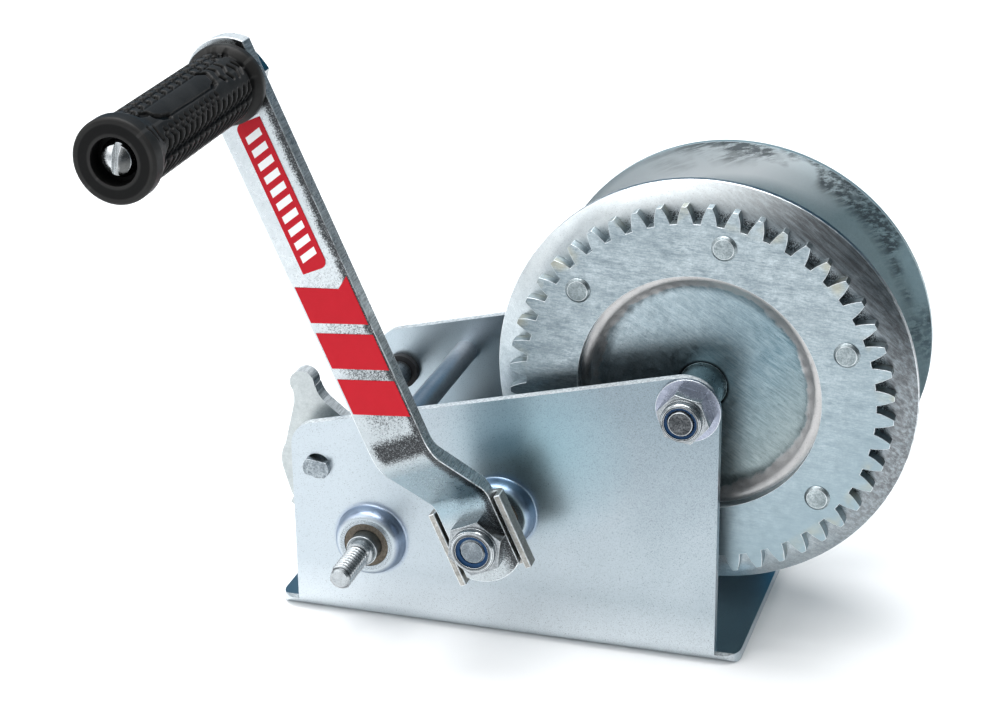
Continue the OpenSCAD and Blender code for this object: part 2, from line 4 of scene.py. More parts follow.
import bmesh
import bpy
import numpy as np
from mathutils import Matrix, Vector

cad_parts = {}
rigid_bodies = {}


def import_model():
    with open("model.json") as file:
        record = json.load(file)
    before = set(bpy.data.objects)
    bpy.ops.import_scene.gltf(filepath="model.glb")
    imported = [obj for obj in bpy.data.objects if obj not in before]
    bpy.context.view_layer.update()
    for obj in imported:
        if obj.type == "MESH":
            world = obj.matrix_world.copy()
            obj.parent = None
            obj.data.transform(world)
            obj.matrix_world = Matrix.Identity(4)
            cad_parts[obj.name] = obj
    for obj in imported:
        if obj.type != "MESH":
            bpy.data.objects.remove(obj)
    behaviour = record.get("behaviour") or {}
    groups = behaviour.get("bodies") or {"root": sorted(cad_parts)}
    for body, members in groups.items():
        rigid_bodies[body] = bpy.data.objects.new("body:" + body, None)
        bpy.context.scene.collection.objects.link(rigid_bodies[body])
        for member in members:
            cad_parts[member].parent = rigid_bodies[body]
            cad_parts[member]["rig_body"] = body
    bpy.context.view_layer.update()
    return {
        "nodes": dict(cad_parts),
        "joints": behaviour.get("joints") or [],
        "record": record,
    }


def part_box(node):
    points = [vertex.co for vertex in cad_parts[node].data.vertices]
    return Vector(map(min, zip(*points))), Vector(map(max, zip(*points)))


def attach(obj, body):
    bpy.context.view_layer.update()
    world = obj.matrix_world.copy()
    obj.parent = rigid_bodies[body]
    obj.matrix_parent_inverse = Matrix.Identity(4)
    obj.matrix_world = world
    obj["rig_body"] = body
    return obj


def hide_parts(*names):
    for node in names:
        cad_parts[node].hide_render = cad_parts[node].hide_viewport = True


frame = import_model()

# Lengths are in mm and angles in degrees, from +X towards +Z. Places that come from the frame are in metres,
# and so are the floor, the lights and the camera where nothing else is said.
MM = 0.001
NODES = frame["nodes"]
SLOT = {p["node"]: p["material_slot"] for p in frame["record"]["subparts"]}
AXES = {j["name"]: Vector(j["pos_m"]) for j in frame["joints"]}
DRUM = AXES["drum_spin"]
UPPER = AXES["upper_shaft_spin"]
LOWER = AXES["lower_shaft_spin"]
GRIP = AXES["grip_spin"]
ORIGIN = (0, 0, 0)
UP = (0, 0, 1)
FRONT = (0, -1, 0)
UPPER_LEFT = (-0.5, 0, 0.87)
CRANK_ANGLE = math.degrees(math.atan2(GRIP.z - UPPER.z, GRIP.x - UPPER.x))

# the side plates' faces, from the middle plane; the frame node's own box takes in its bosses too
INNER_FACE = 47.0
OUTER_FACE = 51.0

# the drum, as radii from its axis
SPACER_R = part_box("drum_spacer")[1][0] / MM - DRUM.x / MM
DISH_R = 43.0
BAND_R = 44.8
GAP_R = 61.0
TOOTH_ROOT_R = 65.0
RIM_R = 66.0
FAR_PAINTED_PALE_R = 54.0
FAR_REFLECTION_STREAK_R = 62.0
FAR_CURL_R = 72.5

# the side plates' bosses, as radii from the shafts' axes
BOSS_MOUTH_R = 10.4
BOSS_FLANK_R = 11.2

# radius of each lock nut's mouth, inside which its blue insert shows
NUT_MOUTHS = ((DRUM, 6.05), (UPPER, 6.25))

# the crank arm, as distances along it from the shaft
SLOPE_START = 6.0
SLOPE_END = 46.0
BEND_START = 44.0
BEND_END = 57.5

# the lower shaft's threaded stub, whose two flats face 15 degrees below +X and the opposite way
STUB_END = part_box("shaft_b")[0][1] / MM
JOURNAL_END = -62.6
THREAD_START = -67.2
THREAD_PITCH = 1.9
THREAD_R = 4.8
THREAD_ROOT = 3.95
SHOULDER_R = THREAD_R + 0.2
CENTRE_R = 0.02  # an end face closes on a ring this small
FLAT_HALF = 3.85
FLAT_NORMAL = Vector((math.cos(math.radians(-15)), 0, math.sin(math.radians(-15))))

# the grip, with distances from its free end
GRIP_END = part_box("grip")[0][1] / MM
GRIP_LENGTH = (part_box("grip")[1][1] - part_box("grip")[0][1]) / MM
COLLAR_R = 14.0
BODY_R = 12.4
NECK_R = 11.4
HEAD_BORE_R = 7.8
HEAD_BORE_DEPTH = 6.0
BOLT_BORE_R = 5.08
TREAD_DEPTH = 1.05
RIB_PITCH = 4.2
LINK_PITCH = 5.6
DOT_PITCH = 3.9

# the Mix node's sockets for colours
MIX_FACTOR, MIX_A, MIX_B, MIX_RESULT = 0, 6, 7, 2


# ---------- materials ----------
FINISH = {}


class Shader:
    """A material with short ways to add nodes to it."""

    def __init__(self, name, colour, metallic, roughness):
        self.material = bpy.data.materials.new("finish_" + name)
        FINISH[name] = self.material
        self.material.use_nodes = True
        self.tree = self.material.node_tree
        self.surface = self.tree.nodes["Principled BSDF"]
        self.surface.inputs["Base Color"].default_value = (*colour, 1)
        self.surface.inputs["Metallic"].default_value = metallic
        self.surface.inputs["Roughness"].default_value = roughness
        self.place = self.tree.nodes.new("ShaderNodeTexCoord").outputs["Object"]

    def node(self, kind, inputs=None, **settings):
        """A new node; each input is a value or another node's output to link."""
        made = self.tree.nodes.new("ShaderNode" + kind)
        for key, value in settings.items():
            setattr(made, key, value)
        for key, value in (inputs or {}).items():
            if isinstance(value, bpy.types.NodeSocket):
                self.tree.links.new(value, made.inputs[key])
            else:
                made.inputs[key].default_value = value
        return made

    def noise(self, scale, detail=3, rough=0.55, place=None, distortion=0):
        """Noise, mostly between 0.3 and 0.7; scale is about how many blotches there are in a metre."""
        made = self.node("TexNoise", {"Vector": place or self.place, "Scale": scale, "Detail": detail,
                                      "Roughness": rough, "Distortion": distortion})
        return made.outputs["Fac"]

    def ramp(self, value, low, high, to_low=0.0, to_high=1.0):
        """The value's range from low to high turned into to_low to to_high, and held at both ends."""
        made = self.node("MapRange", {"Value": value, "From Min": low, "From Max": high,
                                      "To Min": to_low, "To Max": to_high})
        return made.outputs["Result"]

    def maths(self, operation, a, b=0.0, c=0.0):
        """A Math node's result."""
        return self.node("Math", {0: a, 1: b, 2: c}, operation=operation).outputs[0]

    def times(self, first, *others):
        """The product of two or more masks or numbers."""
        for other in others:
            first = self.maths("MULTIPLY", first, other)
        return first

    def mix(self, factor, a, b):
        """Colour a where the factor is 0 and colour b where it is 1."""
        made = self.node("Mix", data_type="RGBA")
        for index, value in ((MIX_FACTOR, factor), (MIX_A, a), (MIX_B, b)):
            if isinstance(value, bpy.types.NodeSocket):
                self.tree.links.new(value, made.inputs[index])
            elif index == MIX_FACTOR:
                made.inputs[index].default_value = value
            else:
                made.inputs[index].default_value = (*value, 1)
        return made.outputs[MIX_RESULT]

    def stretched(self, turn, along, across):
        """Coordinates for streaks in the XZ plane, turned in degrees from +X towards +Z.

        along and across are how often the pattern changes in a metre, the lower being along the streaks.
        """
        made = self.node("Mapping", {"Vector": self.place, "Rotation": (0, -math.radians(turn), 0),
                                     "Scale": (1 / along, 1 / across, 1 / across)}, vector_type="TEXTURE")
        return made.outputs["Vector"]

    def along(self, origin, direction):
        """Distance in mm along a direction from a point."""
        moved = self.node("VectorMath", {0: self.place, 1: origin}, operation="SUBTRACT")
        dot = self.node("VectorMath", {0: moved.outputs[0], 1: direction}, operation="DOT_PRODUCT")
        return self.times(dot.outputs["Value"], 1 / MM)

    def radius(self, axis):
        """Distance in mm from an axis parallel to Y."""
        moved = self.node("VectorMath", {0: self.place, 1: (axis.x, 0, axis.z)}, operation="SUBTRACT")
        flat = self.node("VectorMath", {0: moved.outputs[0], 1: (1, 0, 1)}, operation="MULTIPLY")
        length = self.node("VectorMath", {0: flat.outputs[0]}, operation="LENGTH")
        return self.times(length.outputs["Value"], 1 / MM)

    def facing(self, direction):
        """How far the surface faces a direction, 1 straight at it."""
        normal = self.node("TexCoord").outputs["Normal"]
        return self.node("VectorMath", {0: normal, 1: direction}, operation="DOT_PRODUCT").outputs["Value"]

    def put(self, socket, value):
        """Links a value to the surface's socket."""
        self.tree.links.new(value, self.surface.inputs[socket])

    def bump(self, height, strength, distance):
        """Bump from a height; distance is how far a height of 1 stands up, in mm."""
        made = self.node("Bump", {"Height": height, "Strength": strength, "Distance": distance * MM})
        self.put("Normal", made.outputs["Normal"])


ZINC_LIGHT = (0.60, 0.67, 0.70)
ZINC_DARK = (0.30, 0.38, 0.42)


def zinc(name, light=ZINC_LIGHT, dark=ZINC_DARK, rough=0.34, turn=None, grain=0.0, mottle=0.5, extra=None,
         metal=1.0, relief=0.28):
    """Zinc-plated steel: cloudy tint, fine spangle, optional brushed grain, brighter edges that are partly
    rubbed wear and partly a painted highlight.

    extra(shader, colour) may lay more on the colour before it is used.
    """
    s = Shader(name, light, metal, rough)
    cloud = s.ramp(s.noise(38, 4, 0.6, distortion=0.5), 0.36, 0.66)
    patch = s.ramp(s.noise(330, 6, 0.72), 0.38, 0.66)
    speckle = s.ramp(s.noise(1500, 3, 0.75), 0.42, 0.64)
    colour = s.mix(s.times(cloud, mottle * 0.5), light, dark)
    colour = s.mix(s.times(patch, mottle * 0.5), colour, dark)
    colour = s.mix(s.times(speckle, mottle * 0.6), colour, dark)
    height = s.maths("MULTIPLY_ADD", patch, 0.6, speckle)
    if turn is not None:
        fine = s.ramp(s.noise(1.0, 4, 0.8, place=s.stretched(turn, 330, 2100)), 0.42, 0.60)
        broad = s.ramp(s.noise(1.0, 5, 0.75, place=s.stretched(turn, 90, 420)), 0.44, 0.66)
        lines = s.maths("MULTIPLY_ADD", broad, 0.5, s.times(fine, 0.5))
        colour = s.mix(s.times(lines, grain), colour, dark)
        height = s.maths("MULTIPLY_ADD", lines, 1.6 * grain, height)
    if extra:
        colour = extra(s, colour)
    # bevelled edges are painted brighter: partly rubbed wear, partly a painted highlight
    edge_scuff_and_sheen = s.node("Attribute", attribute_name="bevel_scuff_and_sheen").outputs["Fac"]
    patchy_scuff_and_sheen = s.times(edge_scuff_and_sheen, s.ramp(s.noise(260, 5, 0.7), 0.35, 0.55, 0.25, 0.9))
    s.put("Base Color", s.mix(patchy_scuff_and_sheen, colour, (0.84, 0.88, 0.90)))
    s.put("Roughness", s.maths("MULTIPLY_ADD", patch, relief * 0.5, rough - relief * 0.2))
    s.bump(height, relief, 0.03)


def specks(s, colour, where, tone=(0.022, 0.022, 0.024)):
    """Dark specks, rare where the mask is 0 and nearly solid where it is 1."""
    grit = s.noise(2300, 4, 0.8)
    dense = s.maths("MULTIPLY_ADD", where, 0.30, grit)
    return s.mix(s.times(s.ramp(dense, 0.58, 0.76), 0.95), colour, tone)


def stained_and_shaded_teeth(s, colour):
    """The drum gear: painted shade, darker towards its lower right, and yellow-brown stains among the teeth.
    """
    # painted shade: the gear darkens towards its lower right
    dull = s.ramp(s.along(DRUM, (0.5, 0, -0.87)), -10.0, 60.0, 0.0, 0.85)
    colour = s.mix(dull, colour, (0.26, 0.34, 0.38))
    teeth = s.ramp(s.radius(DRUM), TOOTH_ROOT_R - 1.5, TOOTH_ROOT_R + 1.5)
    where = s.ramp(s.noise(60, 3), 0.50, 0.62)
    return s.mix(s.times(teeth, where, 0.4), colour, (0.46, 0.40, 0.24))


def dished_centre(s, colour, r):
    """The near flange's centre: painted shade in brushed blue-grey, deeper towards the lower right, stained
    tan low on the right, in a matt ragged band.
    """
    ragged = s.maths("MULTIPLY_ADD", s.noise(55, 5, 0.7), 9.0, r)
    middle = s.ramp(ragged, DISH_R, DISH_R + 1.0, 1.0, 0.0)
    # painted shade: the centre darkens to brushed blue-grey, more towards the lower right
    painted_shade_toward = s.ramp(s.along(DRUM, (0.96, 0, -0.29)), -35.0, 25.0, 0.35, 0.95)
    brushed = s.ramp(s.noise(1.0, 4, 0.8, place=s.stretched(-33, 170, 1500)), 0.38, 0.62)
    blue = s.mix(brushed, (0.10, 0.18, 0.22), (0.24, 0.33, 0.37))
    stain = s.ramp(s.along(DRUM, (0.7, 0, -0.7)), 8.0, 40.0, 0.0, 0.5)
    blue = s.mix(stain, blue, (0.34, 0.35, 0.31))
    colour = s.mix(s.times(middle, painted_shade_toward), colour, blue)
    band = s.times(s.ramp(ragged, DISH_R, DISH_R + 1.0), s.ramp(r, BAND_R, BAND_R + 0.8, 1.0, 0.0))
    return s.mix(s.times(band, 0.85), colour, (0.50, 0.48, 0.47))


def flange_rim(s, colour, r):
    """The near flange's rim: a painted dark reflection, brushed dark grey, on the right, and a painted
    highlight at the upper left.
    """
    # painted reflection: brushed dark grey on the rim's right
    rim = s.ramp(r, RIM_R, RIM_R + 4.0)
    side = s.ramp(s.along(DRUM, (0.94, 0, 0.34)), -20.0, 55.0)
    brushed = s.ramp(s.noise(1.0, 4, 0.7, place=s.stretched(-40, 60, 900)), 0.35, 0.60, 0.5, 1.0)
    colour = s.mix(s.times(rim, side, brushed, 0.9), colour, (0.11, 0.11, 0.115))
    # painted highlight: lighter rim at the upper left
    upper_left = s.ramp(s.along(DRUM, UPPER_LEFT), 40.0, 68.0)
    bright = s.times(upper_left, s.ramp(r, RIM_R - 2.0, RIM_R + 4.0))
    return s.mix(s.times(bright, 0.5), colour, (0.78, 0.80, 0.80))


def near_flange(s, colour):
    """The near flange: its centre and rim, a dark ring round the spacer, and painted shade laid as dark
    specks in the gaps beside the gear's teeth at the upper right.
    """
    r = s.radius(DRUM)
    colour = dished_centre(s, colour, r)
    colour = flange_rim(s, colour, r)
    colour = s.mix(s.ramp(r, SPACER_R + 0.9, SPACER_R + 1.7, 0.95, 0.0), colour, (0.01, 0.012, 0.015))
    # painted shade: dark specks in the gaps between the gear's teeth, towards the upper right
    gap = s.times(s.ramp(r, GAP_R, GAP_R + 1.5), s.ramp(r, RIM_R + 1.5, RIM_R + 3.5, 1.0, 0.0))
    upper_right = s.ramp(s.along(DRUM, (0.8, 0, 0.6)), -5.0, 35.0)
    return specks(s, colour, s.times(gap, upper_right, 0.8))


def far_flange(s, colour):
    """The far flange's front: a painted pale reflection near the rim at the upper left, and painted dark
    streaked reflections at the upper right.
    """
    r = s.radius(DRUM)
    front = s.ramp(s.facing(FRONT), 0.1, 0.5)
    # painted reflection: pale and less metallic near the rim at the upper left
    upper_left = s.ramp(s.along(DRUM, UPPER_LEFT), 22.0, 52.0)
    ring = s.times(s.ramp(r, FAR_PAINTED_PALE_R, FAR_PAINTED_PALE_R + 7.0), s.ramp(r, FAR_CURL_R, FAR_CURL_R + 2.5, 1.0, 0.6))
    pale = s.times(s.times(upper_left, front), ring)
    colour = s.mix(s.times(pale, 0.95), colour, (0.93, 0.96, 0.97))
    s.put("Metallic", s.ramp(pale, 0.0, 1.0, 0.6, 0.1))
    # painted reflection: dark streaks near the rim at the upper right
    reflection_streak = s.ramp(s.noise(1.0, 5, 0.7, place=s.stretched(26, 60, 620)), 0.40, 0.54)
    reflection_streak = s.times(reflection_streak, s.ramp(s.noise(30, 3, 0.5), 0.47, 0.55))
    rim = s.ramp(r, FAR_REFLECTION_STREAK_R, FAR_REFLECTION_STREAK_R + 5.0)
    upper_right = s.ramp(s.along(DRUM, (0.6, 0, 0.8)), 26.0, 52.0)
    where = s.times(s.times(reflection_streak, rim), s.times(upper_right, front))
    return s.mix(s.times(where, 0.85), colour, (0.05, 0.06, 0.07))


def sheared_sides(s, colour, pale=0.3):
    """Cut sides of flat bar and plate: dull grey, torn in fine lines, with a painted highlight where they
    face up: paler and less metallic.
    """
    side = s.ramp(s.maths("ABSOLUTE", s.facing((0, 1, 0))), 0.25, 0.6, 1.0, 0.0)
    lines = s.ramp(s.noise(1.0, 4, 0.7, place=s.stretched(CRANK_ANGLE, 1700, 160)), 0.38, 0.62)
    tone = s.mix(lines, (0.17, 0.18, 0.19), (0.66, 0.68, 0.69))
    colour = s.mix(s.times(side, 0.8), colour, tone)
    # painted highlight: sides that face up are paler and less metallic
    upward = s.ramp(s.facing(UP), 0.35, 0.8)
    s.put("Metallic", s.ramp(upward, 0.0, 1.0, 1.0, 0.3))
    return s.mix(s.times(upward, pale), colour, (0.74, 0.77, 0.78))


def arm_dark_specks(s, u, n):
    """Where the crank arm gets dark specks: a painted dark reflection along one edge and at the bend, and
    specks thinly over the lower half and beside the shaft's hole.

    u is the distance along the arm from the shaft, n the distance across it.
    """
    ragged = s.maths("MULTIPLY_ADD", s.noise(90, 4, 0.7), 4.0, n)
    # painted reflection: a dark strip along one edge
    strip = s.ramp(ragged, 8.6, 11.2)
    # painted reflection: a dark band at the bend
    bend = s.times(s.ramp(u, BEND_START, BEND_START + 4.0), s.ramp(u, BEND_END - 4.5, BEND_END, 1.0, 0.0))
    bend = s.times(bend, s.ramp(ragged, -8.0, -5.0))
    thin = s.times(s.ramp(u, 132.0, 84.0, 0.05, 0.58), s.ramp(n, -10.5, -3.0))
    thin = s.times(thin, s.ramp(u, 56.0, 66.0, 0.4, 1.0))
    eye = s.times(s.ramp(u, 18.0, 8.0), s.ramp(n, 3.0, 8.0, 0.0, 0.75))
    return s.maths("MAXIMUM", s.maths("MAXIMUM", strip, eye), s.maths("MAXIMUM", bend, thin))


def arm_marks(s, colour):
    """The crank arm: painted shade over its lower half, a painted blue-grey reflection on the slope, dark
    specks on its front, cut sides.
    """
    direction = Vector((math.cos(math.radians(CRANK_ANGLE)), 0, math.sin(math.radians(CRANK_ANGLE))))
    across = Vector((direction.z, 0, -direction.x))
    u = s.along(UPPER, direction)
    n = s.along(UPPER, across)
    # painted shade: darker over the arm's lower half
    colour = s.mix(s.times(s.ramp(u, 110.0, 60.0), 0.62), colour, (0.36, 0.40, 0.42))
    # painted reflection: blue-grey over the slope
    slope_reflection = s.times(s.ramp(u, SLOPE_END, SLOPE_END - 8.0), s.ramp(u, SLOPE_START, SLOPE_START + 8.0))
    colour = s.mix(s.times(slope_reflection, 0.65), colour, (0.24, 0.37, 0.44))
    front = s.ramp(s.facing(FRONT), -0.1, 0.3)
    colour = specks(s, colour, s.times(arm_dark_specks(s, u, n), front))
    return sheared_sides(s, colour, pale=0.8)


def dark_roots(s, colour):
    """Darker in the thread's grooves, but not on the two flats or on the end face."""
    groove = s.ramp(s.radius(LOWER), THREAD_ROOT + 0.1, THREAD_ROOT + 0.5, 1.0, 0.0)
    flat = s.maths("ABSOLUTE", s.along(LOWER, FLAT_NORMAL))
    keep = s.times(groove, s.ramp(flat, FLAT_HALF - 0.35, FLAT_HALF - 0.05, 1.0, 0.0))
    keep = s.times(keep, s.ramp(s.along(ORIGIN, (0, 1, 0)), STUB_END + 0.2, STUB_END + 1.0))
    return s.mix(s.times(keep, 0.9), colour, (0.04, 0.045, 0.05))


def plate_painted_shades(s, colour):
    """The frame's broad painted light: a painted highlight along the fold, painted shade on the right and top
    with fine dark grain there, and a painted teal shade by the upper shaft.
    """
    x = s.along(ORIGIN, (1, 0, 0))
    # painted shade: darker towards the right
    right = s.ramp(x, -60.0, 75.0)
    cloud = s.ramp(s.noise(30, 4, 0.6), 0.3, 0.7, 0.4, 1.0)
    colour = s.mix(s.times(right, cloud, 0.55), colour, (0.24, 0.30, 0.33))
    # painted highlight: paler along the fold
    fold_highlight = s.ramp(s.along(ORIGIN, (0, 0, 1)), 6.0, 22.0, 0.55, 0.0)
    colour = s.mix(fold_highlight, colour, (0.80, 0.85, 0.88))
    # painted shade: darker towards the top
    top = s.times(s.ramp(s.along(ORIGIN, (-0.13, 0, 0.99)), 30.0, 92.0), s.ramp(x, -60.0, 20.0))
    colour = s.mix(s.times(top, 0.75), colour, (0.20, 0.26, 0.30))
    grain = s.ramp(s.noise(2300, 3, 0.8), 0.42, 0.60)
    grainy = s.maths("MULTIPLY_ADD", top, 0.22, s.times(right, 0.16))
    colour = s.mix(s.times(grain, grainy), colour, (0.10, 0.13, 0.15))
    # painted shade: teal by the upper shaft
    teal_shade = s.ramp(s.radius(UPPER + Vector((14, 0, 26)) * MM), 38.0, 6.0, 0.0, 0.5)
    return s.mix(teal_shade, colour, (0.24, 0.43, 0.50))


def boss_marks(s, colour, off_middle):
    """The drawn bosses: a painted violet reflection on their flanks outside the plates, grey specks at their
    mouths.
    """
    raised = s.ramp(off_middle, OUTER_FACE - 0.3, OUTER_FACE - 0.1)
    for axis in (UPPER, LOWER):
        r = s.radius(axis)
        # painted reflection: violet on the flanks outside the plates
        flank_reflection = s.times(s.ramp(r, BOSS_FLANK_R, BOSS_FLANK_R + 1.2),
                        s.ramp(r, BOSS_FLANK_R + 2.4, BOSS_FLANK_R + 4.3, 1.0, 0.0))
        colour = s.mix(s.times(flank_reflection, raised, 0.5), colour, (0.12, 0.19, 0.36))
        mouth = s.times(s.ramp(r, BOSS_MOUTH_R, BOSS_MOUTH_R + 0.4, 1.0, 0.0), 0.45)
        colour = specks(s, colour, mouth, tone=(0.12, 0.13, 0.14))
    return colour


def cut_edges(s, colour, off_middle):
    """The sheet's cut edges where they face up: a painted highlight, pale and less metallic."""
    within = s.times(s.ramp(off_middle, INNER_FACE + 0.1, INNER_FACE + 0.3),
                     s.ramp(off_middle, OUTER_FACE - 0.1, OUTER_FACE, 1.0, 0.0))
    # painted highlight on edges that face up
    edge = s.times(within, s.ramp(s.facing(UP), 0.6, 0.85))
    s.put("Metallic", s.ramp(edge, 0.0, 1.0, 1.0, 0.15))
    tone = s.mix(s.ramp(s.noise(900, 4, 0.7), 0.4, 0.6), (0.34, 0.37, 0.39), (0.66, 0.70, 0.72))
    return s.mix(edge, colour, tone)


def frame_shades_and_marks(s, colour):
    """The folded frame: painted shades on the plates, boss marks and cut edges, and painted dark blue shade
    inside, strongest where it faces up.
    """
    y = s.along(ORIGIN, (0, 1, 0))
    off_middle = s.maths("ABSOLUTE", y)
    colour = plate_painted_shades(s, colour)
    colour = boss_marks(s, colour, off_middle)
    colour = cut_edges(s, colour, off_middle)
    # painted shade: dark blue on the inside faces, strongest where they face up
    inside = s.times(s.ramp(y, -INNER_FACE - 0.3, -INNER_FACE - 0.1),
                     s.ramp(y, INNER_FACE + 0.1, INNER_FACE + 0.3, 1.0, 0.0))
    upward = s.ramp(s.facing(UP), 0.7, 0.95, 0.18, 0.7)
    return s.mix(s.times(inside, upward), colour, (0.24, 0.38, 0.46))


def dark_mouth(s, colour):
    """The lock nuts: a dark band round the blue insert."""
    for axis, mouth in NUT_MOUTHS:
        r = s.radius(axis)
        ring = s.times(s.ramp(r, mouth, mouth + 0.2), s.ramp(r, mouth + 0.55, mouth + 0.9, 1.0, 0.0))
        colour = s.mix(s.times(ring, 0.85), colour, (0.03, 0.033, 0.036))
    return colour


def reflection_dark_right(s, colour):
    """The grip bolt's domed head: bright on the left, a painted dark reflection with a ragged edge on the
    right.
    """
    # painted reflection: dark over the head's right side
    ragged = s.maths("MULTIPLY_ADD", s.noise(240, 4, 0.7), 4.0, s.along(GRIP, (1, 0, -0.25)))
    return s.mix(s.times(s.ramp(ragged, 1.6, 4.2), 0.85), colour, (0.035, 0.035, 0.033))


def bronze():
    """Sintered bronze of the bushings, dull and porous."""
    s = Shader("bronze", (0.15, 0.13, 0.11), 0.5, 0.6)
    pores = s.ramp(s.noise(1100, 4, 0.75), 0.35, 0.7)
    s.put("Base Color", s.mix(pores, (0.09, 0.075, 0.06), (0.21, 0.18, 0.14)))
    s.bump(pores, 0.4, 0.05)


def nylon():
    """Dark blue nylon of the lock nuts' inserts."""
    s = Shader("nylon_blue", (0.02, 0.12, 0.24), 0.0, 0.28)
    cloud = s.noise(500, 3, 0.6)
    s.put("Base Color", s.mix(cloud, (0.002, 0.020, 0.070), (0.004, 0.055, 0.15)))
    s.surface.inputs["Specular IOR Level"].default_value = 0.2
    s.bump(cloud, 0.15, 0.05)


def rubber(name, colour, rough, grooves=False):
    """Moulded black rubber or plastic, dusty, with a painted highlight on its edges.

    grooves adds painted shade in the grip's tread and bore.
    """
    s = Shader(name, colour, 0.0, rough)
    grain = s.noise(2200, 3, 0.7)
    dust = s.ramp(s.noise(70, 5, 0.65), 0.42, 0.75)
    # painted highlight: lighter where the mesh has sharp edges
    edge = s.ramp(s.node("NewGeometry").outputs["Pointiness"], 0.50, 0.60)
    dust_and_highlight = tuple(c * 2.2 + 0.012 for c in colour)
    base = s.mix(s.times(dust, 0.5), colour, dust_and_highlight)
    base = s.mix(s.times(edge, 0.8), base, dust_and_highlight)
    if grooves:
        # painted shade: near black in the grooves and the bore
        r = s.radius(GRIP)
        deep = s.ramp(r, BODY_R - 0.7, BODY_R - 0.15, 0.96, 0.0)
        outside = s.ramp(r, HEAD_BORE_R + 0.8, HEAD_BORE_R + 1.4)
        bore = s.ramp(r, HEAD_BORE_R + 0.05, HEAD_BORE_R + 0.15, 0.9, 0.0)
        dark = s.maths("MAXIMUM", bore, s.times(deep, outside))
        base = s.mix(dark, base, (0.001, 0.001, 0.001))
    s.put("Base Color", base)
    s.put("Roughness", s.ramp(grain, 0.3, 0.7, rough - 0.08, rough + 0.10))
    s.surface.inputs["Specular IOR Level"].default_value = 0.16
    s.bump(grain, 0.35, 0.03)


def red_film():
    """Red film of the label and the warning blocks."""
    s = Shader("red_film", (0.60, 0.015, 0.03), 0.0, 0.4)
    cloud = s.noise(220, 4, 0.6)
    s.put("Base Color", s.mix(cloud, (0.50, 0.004, 0.014), (0.57, 0.006, 0.020)))
    s.put("Roughness", s.ramp(s.noise(800, 3), 0.3, 0.7, 0.34, 0.5))
    s.bump(s.noise(900, 2), 0.06, 0.04)
    s.surface.inputs["Specular IOR Level"].default_value = 0.2


def white_film():
    """White print on the label."""
    s = Shader("white_film", (0.82, 0.82, 0.82), 0.0, 0.4)
    s.put("Base Color", s.mix(s.noise(400, 4, 0.6), (0.92, 0.92, 0.92), (0.98, 0.98, 0.98)))
    s.bump(s.noise(900, 2), 0.06, 0.04)


zinc("zinc_sheet", mottle=0.6)
zinc("zinc_gear", (0.56, 0.63, 0.66), (0.17, 0.22, 0.25), turn=-3, grain=0.85, mottle=0.6,
     extra=stained_and_shaded_teeth)
zinc("zinc_flange", (0.64, 0.70, 0.73), (0.22, 0.29, 0.33), turn=-28, grain=0.45, mottle=0.5,
     extra=near_flange)
# painted shade: the far flange's zinc is darker and tinted teal, as in the near flange's shade
zinc("zinc_far_shaded", (0.36, 0.47, 0.50), (0.18, 0.26, 0.29), rough=0.36, mottle=0.4, extra=far_flange,
     metal=0.6)
zinc("zinc_frame", (0.50, 0.555, 0.595), (0.36, 0.42, 0.46), rough=0.31, mottle=0.12, extra=frame_shades_and_marks,
     relief=0.08)
zinc("zinc_ears", (0.58, 0.57, 0.54), (0.16, 0.16, 0.15), rough=0.42, turn=CRANK_ANGLE, grain=0.4, mottle=1.0)
zinc("zinc_plate", (0.54, 0.575, 0.575), (0.34, 0.37, 0.38), rough=0.36, turn=70, grain=0.2, mottle=0.7,
     extra=sheared_sides)
zinc("zinc_arm", (0.66, 0.70, 0.72), (0.44, 0.49, 0.52), rough=0.30, mottle=0.3, extra=arm_marks)
zinc("zinc_bar", (0.44, 0.49, 0.52), (0.09, 0.11, 0.13), rough=0.34, mottle=1.3)
zinc("zinc_rod", (0.70, 0.72, 0.76), (0.30, 0.31, 0.36), rough=0.34, mottle=0.5, relief=0.1)
zinc("zinc_spacer", (0.34, 0.45, 0.48), (0.10, 0.16, 0.18), rough=0.30, mottle=0.8)
zinc("zinc_nut", (0.46, 0.49, 0.51), (0.08, 0.09, 0.10), rough=0.18, mottle=0.8, extra=dark_mouth)
zinc("zinc_washer", (0.40, 0.43, 0.52), (0.20, 0.22, 0.28), rough=0.28, mottle=0.8)
zinc("bolt_head", (0.66, 0.68, 0.69), (0.30, 0.31, 0.31), rough=0.20, mottle=0.5, extra=reflection_dark_right)
zinc("zinc_thread", (0.52, 0.55, 0.57), (0.18, 0.20, 0.21), rough=0.24, mottle=0.6, extra=dark_roots)
zinc("bolt_end", (0.17, 0.18, 0.19), (0.015, 0.017, 0.02), rough=0.34, mottle=1.4)
zinc("rivet_head", (0.50, 0.56, 0.58), (0.10, 0.13, 0.14), rough=0.34, mottle=1.0)
zinc("steel_dark", (0.30, 0.33, 0.35), (0.10, 0.12, 0.13), rough=0.34, mottle=0.8)
bronze()
nylon()
rubber("grip_rubber", (0.013, 0.0125, 0.012), 0.44, grooves=True)
rubber("black_plastic", (0.012, 0.012, 0.013), 0.40)
red_film()
white_film()


# ---------- building pieces ----------
def applied(obj):
    """Applies the object's modifiers to its mesh."""
    view = bpy.context.evaluated_depsgraph_get()
    mesh = bpy.data.meshes.new_from_object(obj.evaluated_get(view))
    obj.modifiers.clear()
    obj.data = mesh


# larger faces are shaded flat, in square metres
FLAT_AREA = 60 * MM * MM


